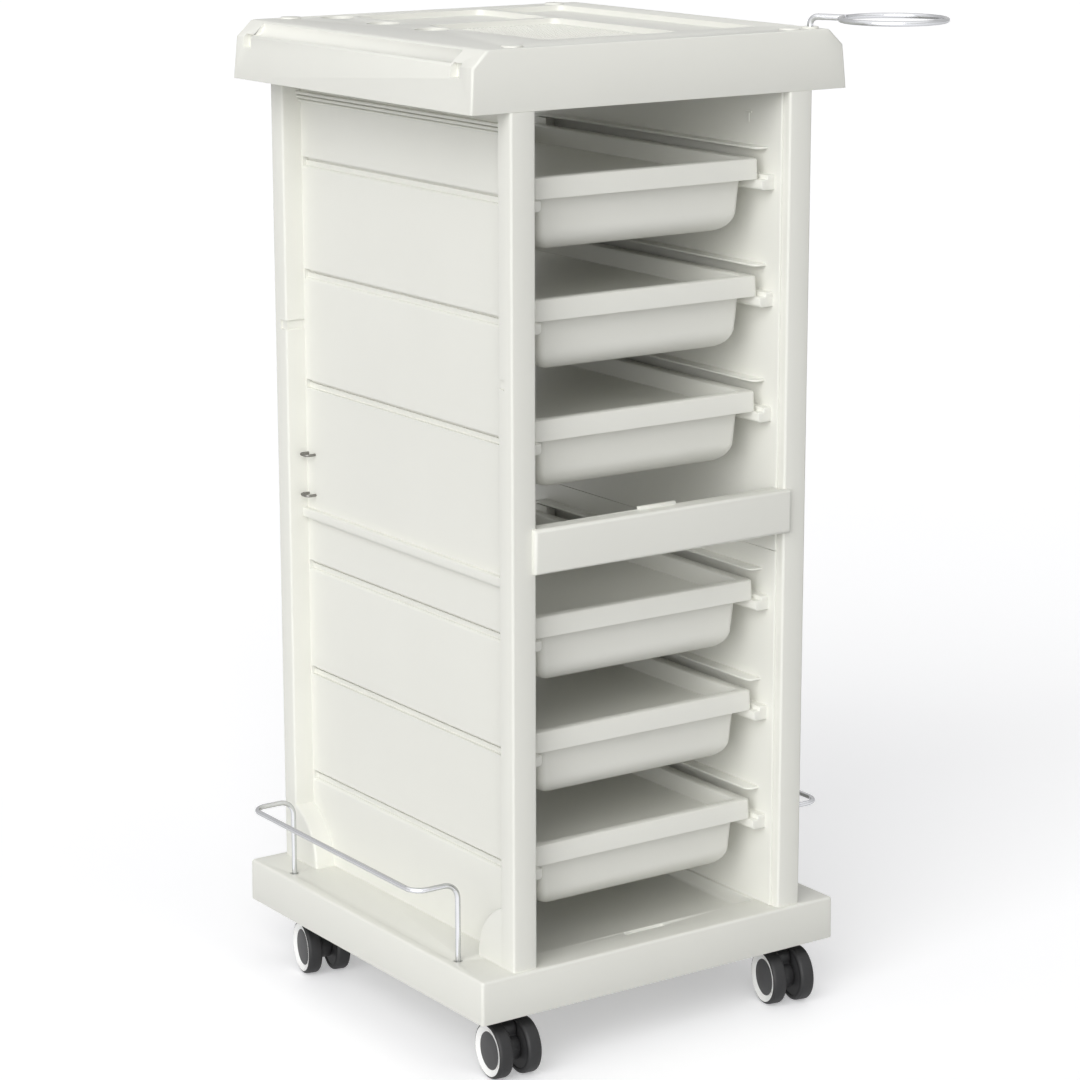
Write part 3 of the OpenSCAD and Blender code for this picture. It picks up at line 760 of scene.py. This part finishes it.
def mat_studs(mat_x, front_y, mat_d, floor_z):
    """Small round studs over the floor of the mat area."""
    pitch, edge = 4.4, 5
    count_x = int((mat_x[1] - mat_x[0] - 2 * edge) / pitch)
    count_y = int((mat_d - 2 * edge) / pitch)
    stud = turned((mat_x[0] + edge + pitch / 2, front_y + edge + pitch / 2, floor_z - 0.1), (0, 0, 1),
                  [(1.25, 0), (1.2, 0.5), (0.75, 0.85)], 8)
    for way, count in ((Vector((1, 0, 0)), count_x), (Vector((0, 1, 0)), count_y)):
        only(stud)
        step = stud.modifiers.new("Row", "ARRAY")
        step.use_relative_offset, step.use_constant_offset = False, True
        step.constant_offset_displace = way * pitch * MM
        step.count = count
        bpy.ops.object.modifier_apply(modifier=step.name)
    finished(stud, "mat_studs", TOP_PLASTIC, "frame", "top_plastic", angle=50)


def screw_caps():
    outline = [(9.2, 0), (9.2, 3.4), (8.9, 4.1), (8.1, 4.5), (4, 4.7), (0.5, 4.75)]
    caps = [turned((x * SCREW_X, y * LID_SCREW_Y, LID_TOP - 3), (0, 0, 1), outline, 56)
            for x in BOTH for y in BOTH]
    finished(together(*caps), "screw_caps", TOP_PLASTIC, "frame", "top_plastic", "lid_screw_caps")


# ---------- wires ----------

def dryer_holder():
    """The bush in the top tray, and the wire that turns in it: post, bend, arm and ring."""
    low, high = span("ring_bush")
    post = ((low.x + high.x) / 2, (low.y + high.y) / 2)
    bush = turned((*post, LID_TOP - 30), (0, 0, 1),
                  [(2.9, 0), (5.9, 0), (5.9, 30), (7.4, 30), (7.5, 31), (7.0, 31.6), (3.3, 31.6), (2.9, 31.2),
                   (2.9, 0)], 40)
    finished(bush, "ring_socket", TOP_PLASTIC, "frame", "top_plastic", "ring_bush")
    bore_r, wire_r, post_r, reach, way, bend = 43.2, 2.3, 2.75, 77, math.radians(-62.4), 7
    z = LID_TOP + 10
    out = Vector((math.cos(way), math.sin(way), 0))
    across = out.cross(Vector((0, 0, 1)))
    centre = Vector((*post, z)) + out * reach
    arm = wire((*post, LID_TOP - 28), (0, 0, 1), post_r,
               [(0, 0, 38 - bend), (Vector((*post, z - bend)) + out * bend, tuple(-across), 90),
                tuple(out * (reach - bore_r - bend))])
    clear()
    bpy.ops.mesh.primitive_torus_add(major_radius=(bore_r + wire_r) * MM, minor_radius=wire_r * MM,
                                     major_segments=128, minor_segments=18, location=at(*centre))
    loop = settle(bpy.context.object)
    finished(together(arm, loop), "dryer_ring_wire", CHROME, "dryer_ring", "chrome_wire", "dryer_ring",
             angle=60)


def side_rail():
    """The right side rail: post, a bend outwards, a bend along the side, and the same back."""
    high = span("wire_rail_right")[1]
    cad_r, radius, sunk, bend = 3.1, 2.35, 11, 14
    out_x, top = high.x - cad_r, high.z - cad_r
    rise, reach = top - BASE_TOP + sunk - bend, out_x - RAIL_X - 2 * bend
    return wire((RAIL_X, RAIL_Y, BASE_TOP - sunk), (0, 0, 1), radius,
                [(0, 0, rise),
                 ((RAIL_X + bend, RAIL_Y, top - bend), (0, 1, 0), 90),
                 (reach, 0, 0),
                 ((out_x - bend, RAIL_Y - bend, top), (0, 0, -1), 90),
                 (0, -2 * (RAIL_Y - bend), 0),
                 ((out_x - bend, -RAIL_Y + bend, top), (0, 0, -1), 90),
                 (-reach, 0, 0),
                 ((RAIL_X + bend, -RAIL_Y, top - bend), (0, -1, 0), 90),
                 (0, 0, -rise)])


def side_rails():
    right = side_rail()
    left = mirrored(right, -1)
    for side, piece in (("right", right), ("left", left)):
        finished(piece, f"rail_{side}", CHROME, "frame", "chrome_wire", f"wire_rail_{side}", angle=60)


def clip_wires():
    """Two small staples at the rear edge of the upper left panel."""
    staples = []
    x, far = -PANEL_OUT + 1, INNER_Y - 3
    for z in (SPLIT_Z + 22, SPLIT_Z + 60):
        staples.append(wire((x, far - 12, z), (-1, 0, 0), 1.3,
                            [(-7, 0, 0), ((x - 7, far - 9, z), (0, 0, -1), 90), (0, 6, 0),
                             ((x - 7, far - 3, z), (0, 0, -1), 90), (7, 0, 0)], 12))
    finished(together(*staples), "clip_wires", CLIP_STEEL, "frame", "clip_wire", "panel_clip_wires",
             angle=60)


# ---------- casters ----------

def caster_pieces():
    """The front left caster, unturned: its housing, its axle pin, and each wheel with its ring."""
    x, y = -CASTER_X, -CASTER_Y
    axle = Vector((x, y - TRAIL, WHEEL_R))
    half = WHEEL_GAP / 2 - 0.3
    core = rod((x - half, y - TRAIL, WHEEL_R), 12, 2 * half, "X", 56)
    arm = block((x - half, y - TRAIL - 4, WHEEL_R + 4), (x + half, y + 9, WHEEL_R + 23))
    choose(arm, "EDGE", lambda m, w: abs(w.x) > 0.9 and m.z < WHEEL_R + 5)
    bpy.ops.mesh.bevel(offset=11 * MM, segments=6, affect="EDGES")
    done()
    round_edges(arm, 9, lambda m, w: abs(w.x) > 0.9 and m.z > WHEEL_R + 20 and m.y < y, 6)
    neck = turned((x, y, WHEEL_R + 15), (0, 0, 1),
                  [(5.2, 0), (8.6, 0), (9, 0.6), (9, 13), (8.2, 14), (5.2, 14), (5.2, 0)], 40)
    fuse(core, arm)
    soften(core, 1.1, 3, 50)
    housing = together(core, neck)

    def wheel(out):
        """A wheel towards -x or +x: its tyre with the hub's disc, and the ring let into its face."""
        start = axle + Vector((out * WHEEL_GAP / 2, 0, 0))
        tread_r = 3.2
        inner = [(3.1, 0.4), (8, 0), (8, 1.5), (WHEEL_R - 5, 1.5), (WHEEL_R - 4.2, 0.5)]
        tread = (arc(WHEEL_R - tread_r, 3.6, tread_r, -75, 0, 5)
                 + arc(WHEEL_R - tread_r, WHEEL_W - 3.9, tread_r, 0, 75, 5))
        face = [(22.55, 13.9), (22.4, 13.2), (17.2, 11.4), (RING_IN, 11.5), (16.85, 12.2), (16.5, 12.4),
                (3, 12.5), (0.6, 12.5)]
        tyre = turned(start, (out, 0, 0), inner + tread + face, 96)
        band = turned(start, (out, 0, 0), [(RING_IN, 11.6), (22.3, 13.4), (22.5, 14.1), (22.2, 14.3),
                                           (17.3, 12.5), (RING_IN, 12.25), (RING_IN, 11.6)], 96)
        return tyre, band

    reach = WHEEL_GAP / 2 + 12
    pin = turned((x - reach, y - TRAIL, WHEEL_R), (1, 0, 0),
                 [(2.3, 0), (2.95, 0.7), (2.95, 2 * reach - 0.7), (2.3, 2 * reach)], 28)
    return housing, pin, {-1: wheel(-1), 1: wheel(1)}


def paint_hub(wheel, axle, axis):
    """The disc inside the ring gets the hub's finish."""
    wheel.data.materials.append(HUB_BLACK)
    for face in wheel.data.polygons:
        arm = place(face.center) - axle
        if abs(face.normal.dot(axis)) > 0.5 and (arm - axis * arm.dot(axis)).length < RING_IN - 0.15:
            face.material_index = 1


def swung(obj, shift, pivot, degrees):
    """A copy on another caster, turned clockwise about that caster's swivel."""
    new = copy_of(obj, shift)
    edit(new, "VERT", whole=True)
    bpy.ops.transform.rotate(value=math.radians(degrees), orient_axis="Z", center_override=at(*pivot))
    return done()


def casters():
    """All four casters, each turned a little at rest, as the CAD's are."""
    housing, pin, wheels = caster_pieces()
    for end, ys in ENDS.items():
        for side, xs in SIDES.items():
            pivot = Vector((xs * CASTER_X, ys * CASTER_Y, WHEEL_R))
            shift = (pivot.x + CASTER_X, pivot.y + CASTER_Y, 0)
            name = f"{end}_{side}"
            body = f"caster_{name}"
            turn = AT_REST.get(name, REST_TURN)
            axis = Vector((math.cos(math.radians(turn)), -math.sin(math.radians(turn)), 0))
            axle = pivot + Vector((axis.y, -axis.x, 0)) * TRAIL
            finished(swung(housing, shift, pivot, turn), f"caster_housing_{name}", HOUSING_BLACK, body,
                     "caster_plastic", f"caster_fork_{name}")
            finished(swung(pin, shift, pivot, turn), f"axle_pin_{name}", STEM_STEEL, body, "stem_steel",
                     f"caster_axle_{name}")
            for out, (tyre, band) in wheels.items():
                full = f"{name}_outer" if out == xs else f"{name}_inner"
                piece = finished(swung(tyre, shift, pivot, turn), f"tyre_{full}", TYRE_BLACK, f"wheel_{full}",
                                 "tyre_black", f"wheel_{full}")
                paint_hub(piece, axle, axis)
                finished(swung(band, shift, pivot, turn), f"ring_{full}", RING_WHITE, f"wheel_{full}",
                         "ring_white", f"wheel_ring_{full}")
    for obj in (housing, pin, *wheels[-1], *wheels[1]):
        bpy.data.objects.remove(obj)


# ---------- CAD nodes that stay ----------

def carried_over():
    """The screws and stems, almost out of sight, keep their CAD meshes and get their real finish."""
    for node, material in (("lid_screws", ZINC), ("base_screws", ZINC), ("caster_stems", STEM_STEEL)):
        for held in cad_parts[node].material_slots:
            held.material = material


# ---------- stage, light and camera ----------

def stage():
    """A white floor. Its bounced light is held back, so the trolley's lower faces keep their shade."""
    clear()
    bpy.ops.mesh.primitive_plane_add(size=30, location=(0, 0, 0))
    floor = bpy.context.object
    floor.name = "studio_floor"
    paint = Paint("studio_floor_white")
    cloud = paint.noise(0.8, 2)
    thrown = paint.node("LightPath", out="Is Diffuse Ray")
    white = paint.blend(cloud, (0.925, 0.925, 0.935, 1), (0.945, 0.945, 0.95, 1))
    floor.data.materials.append(paint.finish(
        Base_Color=paint.blend(thrown, white, (0.42, 0.42, 0.42, 1)), Roughness=0.6 + cloud * 0.05,
        Emission_Color=paint.blend(thrown, (0.3, 0.3, 0.305, 1), (0, 0, 0, 1)), Emission_Strength=1.0))


def far_light(name, energy, spread, direction):
    """A broad light so far off that it is the same all over the floor."""
    light = bpy.data.lights.new(name, "SUN")
    light.energy, light.angle = energy, math.radians(spread)
    obj = bpy.data.objects.new(name, light)
    bpy.context.scene.collection.objects.link(obj)
    obj.rotation_euler = Vector(direction).to_track_quat("Z", "Y").to_euler()


def studio():
    """Two broad lights and a backdrop that is white in view and in the chrome, and dimmer as light."""
    world = bpy.data.worlds.new("studio")
    bpy.context.scene.world = world
    world.use_nodes = True
    tree = world.node_tree
    tree.nodes.clear()
    path = tree.nodes.new("ShaderNodeLightPath")
    shown = tree.nodes.new("ShaderNodeMath")
    shown.operation = "MAXIMUM"
    strength = tree.nodes.new("ShaderNodeMix")
    strength.inputs[2].default_value, strength.inputs[3].default_value = 0.26, 1.0
    background = tree.nodes.new("ShaderNodeBackground")
    output = tree.nodes.new("ShaderNodeOutputWorld")
    tree.links.new(path.outputs["Is Camera Ray"], shown.inputs[0])
    tree.links.new(path.outputs["Is Glossy Ray"], shown.inputs[1])
    tree.links.new(shown.outputs[0], strength.inputs[0])
    tree.links.new(strength.outputs[0], background.inputs["Strength"])
    tree.links.new(background.outputs[0], output.inputs["Surface"])
    far_light("key_front_left", 2.65, 60, (-0.74, -0.56, 0.38))
    far_light("overhead", 0.7, 100, (-0.15, -0.1, 1))
    bpy.context.scene.view_settings.view_transform = "Standard"


def camera():
    """A long lens from the front left, a little above the top tray."""
    azimuth, pitch, roll = (math.radians(a) for a in (-34.5404, 13.5297, -0.1077))
    data = bpy.data.cameras.new("camera")
    data.lens, data.sensor_width = 110.06, 36
    obj = bpy.data.objects.new("camera", data)
    bpy.context.scene.collection.objects.link(obj)
    turn = (Matrix.Rotation(azimuth, 4, "Z") @ Matrix.Rotation(math.pi / 2 - pitch, 4, "X")
            @ Matrix.Rotation(roll, 4, "Z"))
    obj.matrix_world = Matrix.Translation(at(-1654.2, -2409.9, 1122.6)) @ turn
    bpy.context.scene.camera = obj


base_moulding()
columns()
crossbars()
side_panels()
trays()
mat_studs(*top_tray())
screw_caps()
dryer_holder()
side_rails()
clip_wires()
casters()
carried_over()
stage()
studio()
camera()
clear()
